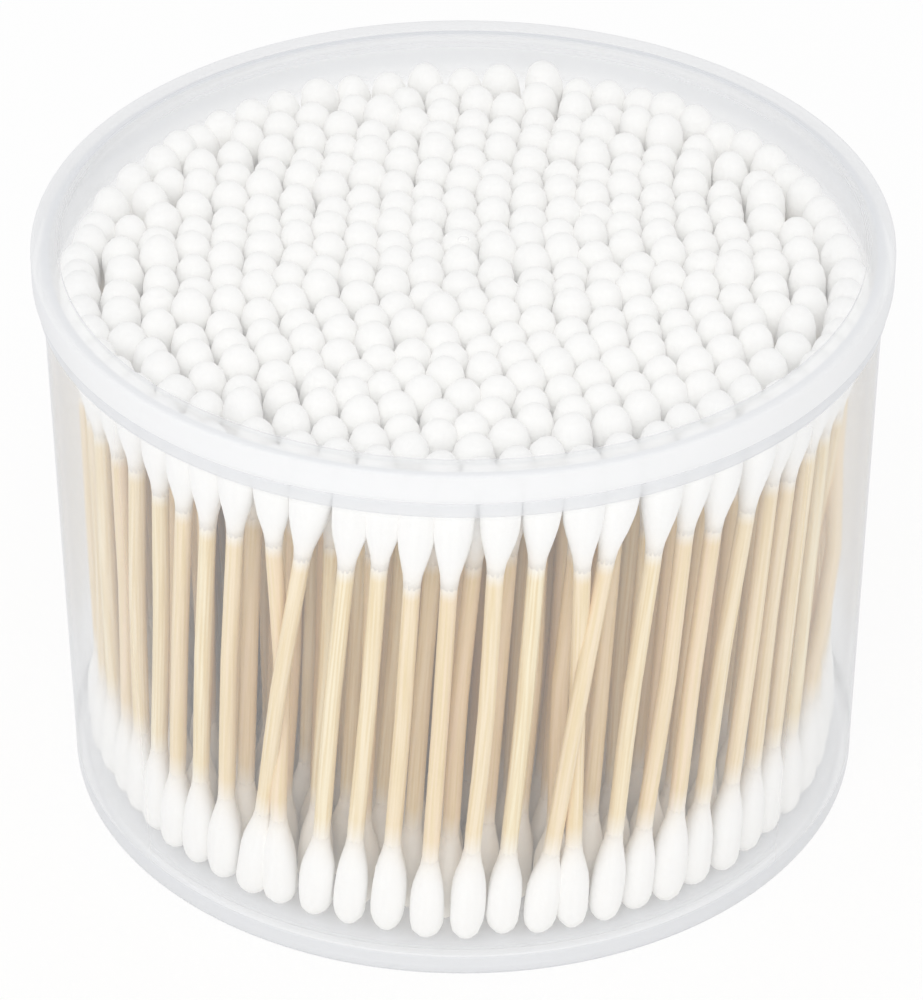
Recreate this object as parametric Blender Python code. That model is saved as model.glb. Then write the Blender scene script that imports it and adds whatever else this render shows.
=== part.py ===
"""A round clear tub packed with standing cotton swabs, closed by a press-on lid.

Metres, +Z up. The origin is the middle of the foot ring's underside.
"""
import math

import bmesh
import bpy
import numpy as np

MM = 0.001

# Swab: a bamboo stick with a cotton head on each end
SWAB_LENGTH = 73.6 * MM
LENGTH_SPREAD = 0.8 * MM
HEAD_D = 4.8 * MM
HEAD_LENGTH = 14.0 * MM
HEAD_DOME = 1.9 * MM
HEAD_BELLY = 5.6 * MM
STICK_D = 2.3 * MM
SWAB_GAP = 0.3 * MM

# Lid: a rim that straddles the tub's neck round a recessed panel
LID_R = 57.0 * MM
LID_WALL = 1.0 * MM
RIM_ROOF = 0.8 * MM
RIM_EDGE_R = 0.7 * MM
RIM_INNER_EDGE_R = 0.35 * MM
SKIRT_HEIGHT = 4.4 * MM
PANEL = 1.0 * MM
PANEL_RECESS = 1.2 * MM
PLUG_CHAMFER = 0.35 * MM

# Tub: a drafted wall on a foot ring, with a stop flange under the neck
TUB_WALL = 1.1 * MM
BODY_DRAFT = 1.2 * MM
FLOOR = 1.2 * MM
FLOOR_CORNER_R = 1.3 * MM
FOOT_HEIGHT = 1.9 * MM
FOOT_WIDTH = 1.7 * MM
FOOT_EDGE_R = 0.9 * MM
FLANGE_REACH = 0.8 * MM
FLANGE_HEIGHT = 2.0 * MM
FLANGE_ROOT = 0.5 * MM
LIP_CHAMFER = 0.25 * MM

# Shallow well that the moulding gate leaves in the middle of lid and floor
GATE_WELL_R = 7.0 * MM
GATE_WELL_DEPTH = 0.25 * MM

# Fits
LID_FIT = 0.3 * MM
REST_GAP = 0.3 * MM
HEADROOM = 2.0 * MM

# How the swabs are packed
RIM_ARCS = 16
FILES = 21
FILE_BOW = 6.0 * MM
FIELD_SLACK = 1.5 * MM
LEAN = math.radians(7.0)
LEAN_SWAY = math.radians(1.6)
SWAY_WAVES = 5
RISE_STEP = 2.4
RIM_CONTACT_SHARE = 0.25
CELL_CORNER_SHARE = 2 / 3
CELL_ANGLE = math.radians(30.0)

# How finely the round forms are cut
TURN_STEPS = 48
CORNER_STEPS = 3
REACH_STEPS = 2001
SHARP_ANGLE = math.radians(38.0)
MERGE = 0.001 * MM

# Heights, from the foot up
FLOOR_TOP = FOOT_HEIGHT + FLOOR
SWAB_FOOT = FLOOR_TOP + REST_GAP
SWAB_TOP = SWAB_FOOT + SWAB_LENGTH
PANEL_UNDER = SWAB_TOP + LENGTH_SPREAD + HEADROOM
PANEL_TOP = PANEL_UNDER + PANEL
RIM_TOP = PANEL_TOP + PANEL_RECESS
ROOF_UNDER = RIM_TOP - RIM_ROOF
SKIRT_FOOT = RIM_TOP - SKIRT_HEIGHT
NECK_TOP = ROOF_UNDER - LID_FIT
FLANGE_TOP = SKIRT_FOOT - LID_FIT
FLANGE_UNDER = FLANGE_TOP - FLANGE_HEIGHT

# Radii, from the lid inwards
SKIRT_BORE = LID_R - LID_WALL
NECK_R = SKIRT_BORE - LID_FIT
NECK_BORE = NECK_R - TUB_WALL
PLUG_R = NECK_BORE - LID_FIT
RIM_BORE = PLUG_R - LID_WALL
FLANGE_R = NECK_R + FLANGE_REACH
FOOT_R = NECK_R - BODY_DRAFT
FLOOR_BORE = FOOT_R - TUB_WALL

# Plan of the swabs: a ring along the wall, round a honeycomb field of files from front to back.
# A cell's corner lies two thirds of a file's pitch from the file's middle line, its side a third.
RIM_ROW_R = FLOOR_BORE - REST_GAP - HEAD_D / 2
RIM_CONTACT = HEAD_D * RIM_CONTACT_SHARE
FIELD_R = RIM_ROW_R - HEAD_D / 2 - SWAB_GAP
FILE_PITCH = 2 * (FIELD_R - FIELD_SLACK) / (FILES - 1 + 2 * CELL_CORNER_SHARE)
SWAB_PITCH = FILE_PITCH / math.cos(CELL_ANGLE)
FIELD_FLANK = FILE_PITCH * CELL_CORNER_SHARE - SWAB_GAP / 2
FIELD_CONTACT = FILE_PITCH * (1 - CELL_CORNER_SHARE) - SWAB_GAP / 2
SPLAY = BODY_DRAFT / FLOOR_BORE

# Finishes: sRGB colours, roughness and opacity
CLEAR_COLOUR = 0xEEF1F5
CLEAR_ROUGHNESS = 0.22
CLEAR_OPACITY = 0.3
COTTON_COLOUR = 0xFBFAF7
BAMBOO_COLOUR = 0xEAD9B8
SWAB_ROUGHNESS = 0.85


def clear_scene():
    """Remove every object, so the model starts from nothing."""
    for old in list(bpy.data.objects):
        bpy.data.objects.remove(old, do_unlink=True)


def linear(colour):
    """Turn a 24-bit sRGB colour into linear red, green and blue."""
    channels = [(colour >> shift & 255) / 255 for shift in (16, 8, 0)]
    return [c / 12.92 if c <= 0.04045 else ((c + 0.055) / 1.055) ** 2.4 for c in channels]


def principled(name, colour, roughness, opacity):
    """Start a Principled material, and give it back with its shader node."""
    made = bpy.data.materials.new(name)
    made.use_nodes = True
    made.diffuse_color = (*linear(colour), opacity)
    shader = made.node_tree.nodes["Principled BSDF"]
    shader.inputs["Base Color"].default_value = (*linear(colour), 1.0)
    shader.inputs["Roughness"].default_value = roughness
    shader.inputs["Metallic"].default_value = 0.0
    shader.inputs["Alpha"].default_value = opacity
    return made, shader


def clear_plastic():
    """Clear polypropylene, which lets the swabs show through."""
    return principled("clear_polypropylene", CLEAR_COLOUR, CLEAR_ROUGHNESS, CLEAR_OPACITY)[0]


def swab_finish():
    """Cotton wool at both ends and bare bamboo between them, told apart by height."""
    made, shader = principled("cotton_and_bamboo", COTTON_COLOUR, SWAB_ROUGHNESS, 1.0)
    nodes, links = made.node_tree.nodes, made.node_tree.links
    place = nodes.new("ShaderNodeTexCoord")
    split = nodes.new("ShaderNodeSeparateXYZ")
    up = nodes.new("ShaderNodeMapRange")
    bands = nodes.new("ShaderNodeValToRGB")
    up.inputs["From Min"].default_value = SWAB_FOOT
    up.inputs["From Max"].default_value = SWAB_TOP
    bands.color_ramp.interpolation = "CONSTANT"
    bands.color_ramp.elements[0].color = (*linear(COTTON_COLOUR), 1.0)
    bands.color_ramp.elements[1].color = (*linear(COTTON_COLOUR), 1.0)
    bands.color_ramp.elements[1].position = 1.0 - HEAD_LENGTH / SWAB_LENGTH
    bands.color_ramp.elements.new(HEAD_LENGTH / SWAB_LENGTH).color = (*linear(BAMBOO_COLOUR), 1.0)
    links.new(place.outputs["Object"], split.inputs["Vector"])
    links.new(split.outputs["Z"], up.inputs["Value"])
    links.new(up.outputs["Result"], bands.inputs["Fac"])
    links.new(bands.outputs["Color"], shader.inputs["Base Color"])
    return made


def add_object(name, bm, finish):
    """Turn a finished bmesh into a smooth-shaded object with one material."""
    mesh = bpy.data.meshes.new(name)
    bm.to_mesh(mesh)
    bm.free()
    mesh.materials.append(finish)
    mesh.shade_smooth()
    made = bpy.data.objects.new(name, mesh)
    bpy.context.scene.collection.objects.link(made)
    return made


def corner(radius, height, size, start, end):
    """Points on a quarter round about (radius, height), from one angle in degrees to the other."""
    angles = [math.radians(start + (end - start) * i / CORNER_STEPS) for i in range(CORNER_STEPS + 1)]
    return [(radius + size * math.cos(a), height + size * math.sin(a)) for a in angles]


def turn(name, outline, finish):
    """Turn an outline of (radius, height) points, from pole to pole, into one closed body."""
    bm = bmesh.new()
    points = [bm.verts.new((radius, 0.0, height)) for radius, height in outline]
    edges = [bm.edges.new(pair) for pair in zip(points, points[1:])]
    bmesh.ops.spin(bm, geom=points + edges, cent=(0.0, 0.0, 0.0), axis=(0.0, 0.0, 1.0),
                   angle=math.tau, steps=TURN_STEPS, use_merge=True)
    bmesh.ops.remove_doubles(bm, verts=bm.verts, dist=MERGE)
    bmesh.ops.recalc_face_normals(bm, faces=bm.faces)
    made = add_object(name, bm, finish)
    made.data.set_sharp_from_angle(angle=SHARP_ANGLE)
    return made


def lid_outline():
    """The lid's half section, from the panel's top over the rim and back under the panel."""
    return [
        (0.0, PANEL_TOP - GATE_WELL_DEPTH),
        (GATE_WELL_R, PANEL_TOP - GATE_WELL_DEPTH),
        (GATE_WELL_R + GATE_WELL_DEPTH, PANEL_TOP),
        (RIM_BORE, PANEL_TOP),
        (RIM_BORE, RIM_TOP - RIM_INNER_EDGE_R),
        (RIM_BORE + RIM_INNER_EDGE_R, RIM_TOP),
        *corner(LID_R - RIM_EDGE_R, RIM_TOP - RIM_EDGE_R, RIM_EDGE_R, 90, 0),
        (LID_R, SKIRT_FOOT),
        (SKIRT_BORE, SKIRT_FOOT),
        (SKIRT_BORE, ROOF_UNDER),
        (PLUG_R, ROOF_UNDER),
        (PLUG_R, PANEL_UNDER + PLUG_CHAMFER),
        (PLUG_R - PLUG_CHAMFER, PANEL_UNDER),
        (0.0, PANEL_UNDER),
    ]


def tub_outline():
    """The tub's half section, from the floor up the inside, over the lip and down to the foot."""
    return [
        (0.0, FLOOR_TOP),
        *corner(FLOOR_BORE - FLOOR_CORNER_R, FLOOR_TOP + FLOOR_CORNER_R, FLOOR_CORNER_R, -90, 0),
        (NECK_BORE, FLANGE_UNDER),
        (NECK_BORE, NECK_TOP - LIP_CHAMFER),
        (NECK_BORE + LIP_CHAMFER, NECK_TOP),
        (NECK_R - LIP_CHAMFER, NECK_TOP),
        (NECK_R, NECK_TOP - LIP_CHAMFER),
        (NECK_R, FLANGE_TOP),
        (FLANGE_R, FLANGE_TOP),
        (FLANGE_R, FLANGE_UNDER),
        (NECK_R, FLANGE_UNDER - FLANGE_ROOT),
        *corner(FOOT_R - FOOT_EDGE_R, FOOT_EDGE_R, FOOT_EDGE_R, 0, -90),
        (FOOT_R - FOOT_WIDTH, 0.0),
        (FOOT_R - FOOT_WIDTH, FOOT_HEIGHT),
        (GATE_WELL_R + GATE_WELL_DEPTH, FOOT_HEIGHT),
        (GATE_WELL_R, FOOT_HEIGHT + GATE_WELL_DEPTH),
        (0.0, FOOT_HEIGHT + GATE_WELL_DEPTH),
    ]


def share_up(height):
    """How far up the swabs a height is: zero at their feet, and one at their tops."""
    return (height - SWAB_FOOT) / SWAB_LENGTH


def packed(x, y, height, lean):
    """Turn a point of the plan on by its share of the lean, and splay it as the tub's wall does."""
    angle = lean * (share_up(height) - 0.5)
    splay = 1.0 + SPLAY * share_up(height)
    cos, sin = splay * math.cos(angle), splay * math.sin(angle)
    return (x * cos - y * sin, x * sin + y * cos, height)


def rim_point(along, outward, height):
    """A point of the ring along the wall, by its way round the ring. The lean sways along it."""
    angle = along / RIM_ROW_R
    radius = RIM_ROW_R + outward
    lean = LEAN + LEAN_SWAY * math.sin(SWAY_WAVES * angle)
    return packed(radius * math.cos(angle), radius * math.sin(angle), height, lean)


def file_x(file, y):
    """Middle line of a file: all files have the same bow, and stand a file pitch apart."""
    return FILE_PITCH * (file - (FILES - 1) / 2) + FILE_BOW * (y / FIELD_R) ** 2


def file_point(file):
    """Give the function that places a point of one file, by its y and its distance across."""
    def place(y, across, height):
        return packed(file_x(file, y) + across, y, height, LEAN)
    return place


def swab_y(file, step):
    """Middle of a swab of a file. Every second file is moved on by half a swab's pitch."""
    return SWAB_PITCH * (step + (file + 1) % 2 / 2)


def stands_clear(file, step):
    """Whether the six corners of a swab's cell are clear of the ring."""
    y = swab_y(file, step)
    ends = (y - SWAB_PITCH / 2, y + SWAB_PITCH / 2)
    corners = [(file_x(file, y) + side * FIELD_FLANK, y) for side in (-1, 1)]
    corners += [(file_x(file, end) + side * FIELD_CONTACT, end) for end in ends for side in (-1, 1)]
    return all(math.hypot(*corner) < FIELD_R for corner in corners)


def file_steps(file):
    """The steps of a file at which a swab stands clear of the ring, from front to back."""
    reach = math.ceil(FIELD_R / SWAB_PITCH)
    return [step for step in range(-reach, reach + 1) if stands_clear(file, step)]


def rise(row, along):
    """How much longer than the shortest one a swab is. It wavers along each row."""
    return LENGTH_SPREAD * (0.5 + 0.5 * math.sin(RISE_STEP * (along / SWAB_PITCH + row * RISE_STEP)))


def swab_levels(open_sticks):
    """Heights of a swab's rings of points, and what each ring is, from the foot up."""
    lower = [("tip", SWAB_FOOT), ("head", SWAB_FOOT + HEAD_DOME)]
    upper = [("head", SWAB_TOP - HEAD_DOME), ("tip", SWAB_TOP)]
    if open_sticks:
        lower += [("head", SWAB_FOOT + HEAD_BELLY), ("stick", SWAB_FOOT + HEAD_LENGTH)]
        upper = [("stick", SWAB_TOP - HEAD_LENGTH), ("head", SWAB_TOP - HEAD_BELLY)] + upper
    return lower, upper


def swab_run(name, finish, row, place, start, pitch, count, flank, contact, open_sticks):
    """Fuse swabs that touch head to head along a row into one closed body.

    Neighbours share the upright edges where their heads meet, so no face lies between them.
    place gives a point from its way along the row, its distance across it, and its height.
    flank and contact are half a head's width at its middle, and where it meets the next.
    """
    bm = bmesh.new()
    lower, upper = swab_levels(open_sticks)
    levels = [(*level, 0) for level in lower] + [(*level, 1) for level in upper]
    stick_flank = STICK_D / 2
    stick_reach = stick_flank * math.cos(CELL_ANGLE)

    def point(along, across, level):
        """A point at a level. The upper levels rise with the swab's own length."""
        height = level[1] + level[2] * rise(row, along)
        return bm.verts.new(place(along, across, height))

    def meeting(step):
        """The two points at each head level on the line where two heads meet, or on a run's end."""
        drawn_in = {0: SWAB_GAP / 2, count: -SWAB_GAP / 2}.get(step, 0.0)
        along = start + pitch * step + drawn_in
        return [(point(along, contact, level), point(along, -contact, level))
                if level[0] == "head" else None for level in levels]

    lines = [meeting(step) for step in range(count + 1)]
    for swab in range(count):
        middle = start + pitch * (swab + 0.5)
        rings = []
        for number, level in enumerate(levels):
            if level[0] == "tip":
                rings.append([point(middle, 0.0, level)] * 6)
            elif level[0] == "head":
                back, ahead = lines[swab][number], lines[swab + 1][number]
                rings.append([back[0], point(middle, flank, level), ahead[0],
                              ahead[1], point(middle, -flank, level), back[1]])
            else:
                sides = [(-1, 0.5), (0, 1), (1, 0.5), (1, -0.5), (0, -1), (-1, -0.5)]
                rings.append([point(middle + stick_reach * ahead, stick_flank * across, level)
                              for ahead, across in sides])
        for number in range(len(levels) - 1):
            kinds = (levels[number][0], levels[number + 1][0])
            for side in range(6):
                joined = (side == 2 and swab < count - 1) or (side == 5 and swab > 0)
                if kinds == ("head", "head") and joined:
                    continue
                low, high = rings[number], rings[number + 1]
                after = (side + 1) % 6
                bm.faces.new(list(dict.fromkeys([low[side], low[after], high[after], high[side]])))
    bmesh.ops.recalc_face_normals(bm, faces=bm.faces)
    return add_object(name, bm, finish)


def add_rim_swabs(tub, finish):
    """The swabs along the wall, whose heads and sticks show through it, in equal arcs."""
    arc = math.tau * RIM_ROW_R / RIM_ARCS
    count = round(arc / SWAB_PITCH)
    for number in range(RIM_ARCS):
        run = swab_run(f"rim_swabs_{number + 1:02d}", finish, 0, rim_point, arc * number, arc / count,
                       count, HEAD_D / 2, RIM_CONTACT, True)
        run.parent = tub


def add_field_swabs(tub, finish):
    """The swabs inside the ring, in files from front to back, each in a front and a back run.

    The ring hides nearly all of their sticks, so they are as wide as a head all the way. The
    files are parted at places that differ, so no straight seam runs across the field.
    """
    for file in range(FILES):
        steps = file_steps(file)
        half = len(steps) // 2 + file % 3 - 1
        for side, part in (("front", steps[:half]), ("back", steps[half:])):
            if part:
                start = swab_y(file, part[0]) - SWAB_PITCH / 2
                run = swab_run(f"{side}_swabs_{file + 1:02d}", finish, file + 1, file_point(file), start,
                               SWAB_PITCH, len(part), FIELD_FLANK, FIELD_CONTACT, False)
                run.parent = tub


def main():
    clear_scene()
    plastic = clear_plastic()
    swabs = swab_finish()
    tub = turn("tub", tub_outline(), plastic)
    turn("lid", lid_outline(), plastic)
    add_rim_swabs(tub, swabs)
    add_field_swabs(tub, swabs)


main()
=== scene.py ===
# %% [markdown]
# # A clear tub packed with cotton swabs
#
# A household tub: a round, faintly milky plastic body, a press-on lid with a sunken panel, and
# some three hundred and sixty bamboo swabs standing inside. Each piece below is made where the
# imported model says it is, and then rides on the body that carries it.
#
# The whole look hangs on two things. Every swab has its own lean, height and tone, because a real
# pack is never regular, and the plastic stays clear where it is met head on and turns grey where
# it is met at a slant.

import math

import bpy
import numpy as np
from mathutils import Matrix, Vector


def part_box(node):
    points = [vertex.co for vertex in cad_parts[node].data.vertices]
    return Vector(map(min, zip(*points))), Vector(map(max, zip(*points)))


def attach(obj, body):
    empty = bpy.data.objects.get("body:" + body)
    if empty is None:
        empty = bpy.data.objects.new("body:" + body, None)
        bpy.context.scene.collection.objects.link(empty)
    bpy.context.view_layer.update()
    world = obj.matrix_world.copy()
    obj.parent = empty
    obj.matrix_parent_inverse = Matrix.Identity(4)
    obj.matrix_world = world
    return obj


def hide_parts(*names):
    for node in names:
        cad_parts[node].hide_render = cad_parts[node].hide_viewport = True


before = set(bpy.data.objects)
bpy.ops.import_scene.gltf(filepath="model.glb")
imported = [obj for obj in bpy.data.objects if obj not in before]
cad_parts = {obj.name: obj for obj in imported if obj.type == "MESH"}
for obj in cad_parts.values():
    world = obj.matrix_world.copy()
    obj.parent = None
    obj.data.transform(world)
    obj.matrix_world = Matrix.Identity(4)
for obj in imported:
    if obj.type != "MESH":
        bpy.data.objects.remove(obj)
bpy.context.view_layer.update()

# %% [markdown]
# ## Sizes
#
# Heights and outer radii are read from the model's own boxes, so a new pack carries through. What
# a box can't tell, such as the wall's thickness, is a named size, the same as in the solids.

# %% Sizes read from the model, and those of moulding and swabs
MM = 0.001

lid_low, lid_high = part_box("lid")
tub_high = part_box("tub")[1]
swab_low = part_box("rim_swabs_01")[0]

LID_R = lid_high.x
RIM_TOP = lid_high.z
SKIRT_FOOT = lid_low.z
FLANGE_R = tub_high.x
NECK_TOP = tub_high.z

LID_WALL = 1.0 * MM
RIM_ROOF = 0.8 * MM
PANEL = 1.0 * MM
PANEL_RECESS = 1.2 * MM
TUB_WALL = 1.1 * MM
BODY_DRAFT = 1.2 * MM
FLOOR = 1.2 * MM
FOOT_HEIGHT = 1.9 * MM
FOOT_WIDTH = 1.7 * MM
FLANGE_HEIGHT = 2.0 * MM
FLANGE_ROOT = 0.5 * MM
GATE_WELL_R = 7.0 * MM
GATE_WELL_DEPTH = 0.25 * MM
FIT = 0.3 * MM

SKIRT_BORE = LID_R - LID_WALL
NECK_R = SKIRT_BORE - FIT
NECK_BORE = NECK_R - TUB_WALL
PLUG_R = NECK_BORE - FIT
RIM_BORE = PLUG_R - LID_WALL
FOOT_R = NECK_R - BODY_DRAFT
FLOOR_BORE = FOOT_R - TUB_WALL
PANEL_TOP = RIM_TOP - PANEL_RECESS
PANEL_UNDER = PANEL_TOP - PANEL
ROOF_UNDER = RIM_TOP - RIM_ROOF
FLANGE_TOP = SKIRT_FOOT - FIT
FLANGE_UNDER = FLANGE_TOP - FLANGE_HEIGHT
FLOOR_TOP = FOOT_HEIGHT + FLOOR
print("lid radius", round(LID_R / MM, 2), "neck radius", round(NECK_R / MM, 2), "mm")

HEAD_D = 4.8 * MM
STICK_D = 2.3 * MM
SWAB_GAP = 0.3 * MM
SWAB_LENGTH = 73.6 * MM
LENGTH_SPREAD = 0.8 * MM
SWAB_FOOT = swab_low.z
SWAB_TOP = SWAB_FOOT + SWAB_LENGTH
print("swabs stand from", round(SWAB_FOOT / MM, 2), "mm to", round(SWAB_TOP / MM, 2), "mm or a bit over")

# %% [markdown]
# ## Where each swab stands
#
# The solids hold the swabs in a ring along the wall, round a honeycomb field of bowed files.
# Here the same rule gives the plan as arrays, one entry for each swab, with the row that it
# belongs to. The tops are turned a few degrees on from the feet, which is why the sticks lean
# one way, and stand a little wider, because the tub's wall is drafted.

# %% The ring and the honeycomb field, as in the solids
RIM_ARCS = 16
FILES = 21
FILE_BOW = 6.0 * MM
FIELD_SLACK = 1.5 * MM
LEAN = math.radians(7.0)
LEAN_SWAY = math.radians(1.6)
SWAY_WAVES = 5
RISE_STEP = 2.4
CELL_CORNER_SHARE = 2 / 3
CELL_ANGLE = math.radians(30.0)

RIM_ROW_R = FLOOR_BORE - FIT - HEAD_D / 2
FIELD_R = RIM_ROW_R - HEAD_D / 2 - SWAB_GAP
FILE_PITCH = 2 * (FIELD_R - FIELD_SLACK) / (FILES - 1 + 2 * CELL_CORNER_SHARE)
SWAB_PITCH = FILE_PITCH / math.cos(CELL_ANGLE)
FIELD_FLANK = FILE_PITCH * CELL_CORNER_SHARE - SWAB_GAP / 2
FIELD_CONTACT = FILE_PITCH * (1 - CELL_CORNER_SHARE) - SWAB_GAP / 2
SPLAY = BODY_DRAFT / FLOOR_BORE


def file_x(file, y):
    """Middle line of a file: equal pitches from the middle, and the same bow in y for all."""
    return FILE_PITCH * (file - (FILES - 1) / 2) + FILE_BOW * (y / FIELD_R) ** 2


def rim_plan():
    """Places at equal steps round the wall, in the middle of each swab's share of its arc."""
    arc = math.tau * RIM_ROW_R / RIM_ARCS
    count = RIM_ARCS * round(arc / SWAB_PITCH)
    along = math.tau * RIM_ROW_R * (np.arange(count) + 0.5) / count
    angle = along / RIM_ROW_R
    plan = RIM_ROW_R * np.stack([np.cos(angle), np.sin(angle)], axis=1)
    return plan, LEAN + LEAN_SWAY * np.sin(SWAY_WAVES * angle), np.zeros(count, int), along


def field_plan():
    """Places on the honeycomb whose six cell corners are all inside the ring."""
    reach = math.ceil(FIELD_R / SWAB_PITCH)
    file, step = np.meshgrid(np.arange(FILES), np.arange(-reach, reach + 1), indexing="ij")
    y = SWAB_PITCH * (step + (file + 1) % 2 / 2)
    corners = [(FIELD_FLANK * side, 0.0) for side in (-1, 1)]
    corners += [(FIELD_CONTACT * side, SWAB_PITCH / 2 * end) for side in (-1, 1) for end in (-1, 1)]
    radii = [np.hypot(file_x(file, y + along) + across, y + along) for across, along in corners]
    clear = np.max(radii, axis=0) < FIELD_R
    file, y = file[clear], y[clear]
    return np.stack([file_x(file, y), y], axis=1), np.full(len(y), LEAN), file + 1, y


plan, lean, swab_row, along = (np.concatenate(pair) for pair in zip(rim_plan(), field_plan()))
on_rim = swab_row == 0
print("swabs:", len(plan), "of them on the wall:", int(on_rim.sum()))

# %% [markdown]
# ## Let the pack settle
#
# Poured swabs don't stand on a drawn grid. Each foot and top is nudged by a seeded random step,
# and then moves a few times to the middle of the space around it, in the way that people spread
# out in a lift. That leaves no hole and no overlap, but keeps a pack's broken rows. Feet and
# tops settle apart from each other, so every stick ends up with a lean of its own. A few pairs
# on the wall have crossed over, one bowing out and the other in to let it pass, and a few swabs
# stand a millimetre proud of the rest.

# %% Turn, nudge and settle feet and tops
FIELD_NUDGE = 0.8 * MM
FOOT_RIM_NUDGE = 0.5 * MM
TOP_RIM_NUDGE = 1.4 * MM
RIM_INWARD = (0.4 * MM, 1.4 * MM)
SETTLE_ROUNDS = 12
RIM_LOOSE = 0.2
SETTLE_SAMPLES = 9000
SAMPLE_MARGIN = HEAD_D / 4
GOLDEN_ANGLE = math.pi * (3 - math.sqrt(5))
PROUD = 1.4 * MM
PROUD_POWER = 10
CROSSED_PAIRS = np.array([3, 9, 15, 21, 25, 30])
CROSS_BOW = 1.2 * MM
FOOT_SEED, TOP_SEED, PROUD_SEED = 11, 29, 5


def turned_plan(points, angles):
    """Turn plan points about the middle, each by its own angle."""
    cos, sin = np.cos(angles), np.sin(angles)
    across = points[:, 0] * cos - points[:, 1] * sin
    along = points[:, 0] * sin + points[:, 1] * cos
    return np.stack([across, along], axis=1)


def settled(points, wall, rim_nudge, seed):
    """Nudge the points, then move each to the mean of the floor samples that are nearest to it.

    The samples are a sunflower's seeds: radius R * sqrt(share), and angle share * n * golden angle.
    """
    random = np.random.default_rng(seed)
    tangent = np.stack([-points[:, 1], points[:, 0]], axis=1)
    tangent /= np.linalg.norm(points, axis=1)[:, None]
    rim_step = tangent * random.normal(0, rim_nudge, (len(points), 1))
    field_step = random.normal(0, FIELD_NUDGE, points.shape)
    points = points + np.where(on_rim[:, None], rim_step, field_step)
    ring = wall - random.uniform(*RIM_INWARD, len(points))
    order = np.arange(SETTLE_SAMPLES) + 0.5
    reach = (wall + SAMPLE_MARGIN) * np.sqrt(order / SETTLE_SAMPLES)
    turn = GOLDEN_ANGLE * order
    samples = np.stack([reach * np.cos(turn), reach * np.sin(turn)], axis=1)
    for _ in range(SETTLE_ROUNDS):
        radius = np.linalg.norm(points, axis=1)
        points = points * (np.where(on_rim, ring, radius) / radius)[:, None]
        away = (points ** 2).sum(axis=1) - 2 * samples @ points.T
        nearest = away.argmin(axis=1)
        near = np.bincount(nearest, minlength=len(points))[:, None]
        sums = [np.bincount(nearest, samples[:, side], len(points)) for side in (0, 1)]
        middle = np.stack(sums, axis=1) / near
        points = np.where(on_rim[:, None], points + (middle - points) * RIM_LOOSE, middle)
    radius = np.linalg.norm(points, axis=1)
    return points * (np.where(on_rim, ring, radius) / radius)[:, None]


feet_drawn = turned_plan(plan, -lean / 2)
tops_drawn = turned_plan(plan, lean / 2) * (1 + SPLAY)
feet_plan = settled(feet_drawn, RIM_ROW_R, FOOT_RIM_NUDGE, FOOT_SEED)
tops_plan = settled(tops_drawn, RIM_ROW_R * (1 + SPLAY), TOP_RIM_NUDGE, TOP_SEED)
rise = LENGTH_SPREAD * (1 + np.sin(RISE_STEP * (along / SWAB_PITCH + swab_row * RISE_STEP))) / 2
rise += PROUD * np.random.default_rng(PROUD_SEED).uniform(0, 1, len(plan)) ** PROUD_POWER
first_of_pair = 2 * CROSSED_PAIRS
feet_plan[[first_of_pair, first_of_pair + 1]] = feet_plan[[first_of_pair + 1, first_of_pair]]
cross_bow = np.zeros(len(plan))
cross_bow[first_of_pair] = -CROSS_BOW
cross_bow[first_of_pair + 1] = CROSS_BOW
feet = np.column_stack([feet_plan, np.full(len(plan), SWAB_FOOT)])
tops = np.column_stack([tops_plan, SWAB_TOP + rise])
moved = np.linalg.norm(tops_plan - tops_drawn, axis=1) / MM
print("settling moved the tops by", moved.mean().round(2), "mm, at most", moved.max().round(2))

# %% [markdown]
# ## Skins turned about many axes at once
#
# Heads and sticks are both round about the swab's own axis, so one function makes them all: it
# carries a ring of points up each axis, with a radius for every ring. The whole pack is one
# array, and no loop runs over points. Each skin is closed by a pole at either end.

# %% A lathe for many axes, and the mesh that takes its points
OWN_STEP = 0.1


def turned_skins(starts, axes, heights, radii, phase):
    """Points start + height * axis + radius * (cos a * side + sin a * front), for every axis.

    heights is (swabs, rings) and radii is (swabs, rings, points of a ring). The first and last
    heights are the poles, which have no ring. The own coordinates are the same points in the
    swab's frame, moved aside by 0.1 m for each swab, so that no two swabs share a pattern.
    """
    count, around = len(starts), radii.shape[2]
    side = np.cross(axes, [0.0, 1.0, 0.0])
    side /= np.linalg.norm(side, axis=1)[:, None]
    front = np.cross(axes, side)
    angle = phase[:, None] + math.tau * np.arange(around) / around
    cos, sin = np.cos(angle)[:, None, :, None], np.sin(angle)[:, None, :, None]
    level = starts[:, None] + heights[:, :, None] * axes[:, None]
    spread = radii[..., None] * (cos * side[:, None, None] + sin * front[:, None, None])
    rings = level[:, 1:-1, None] + spread
    poles = level[:, [0, -1]]
    own_rings = np.concatenate([radii[..., None] * cos, radii[..., None] * sin,
                                np.broadcast_to(heights[:, 1:-1, None, None], (*radii.shape, 1))], axis=3)
    own_poles = np.zeros((count, 2, 3))
    own_poles[:, :, 2] = heights[:, [0, -1]]
    offset = OWN_STEP * np.arange(count)[:, None, None] * np.array([1.0, 1.0, 0.0])
    points = np.concatenate([rings.reshape(count, -1, 3), poles], axis=1)
    own = np.concatenate([own_rings.reshape(count, -1, 3), own_poles], axis=1) + offset
    return points, own


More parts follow.
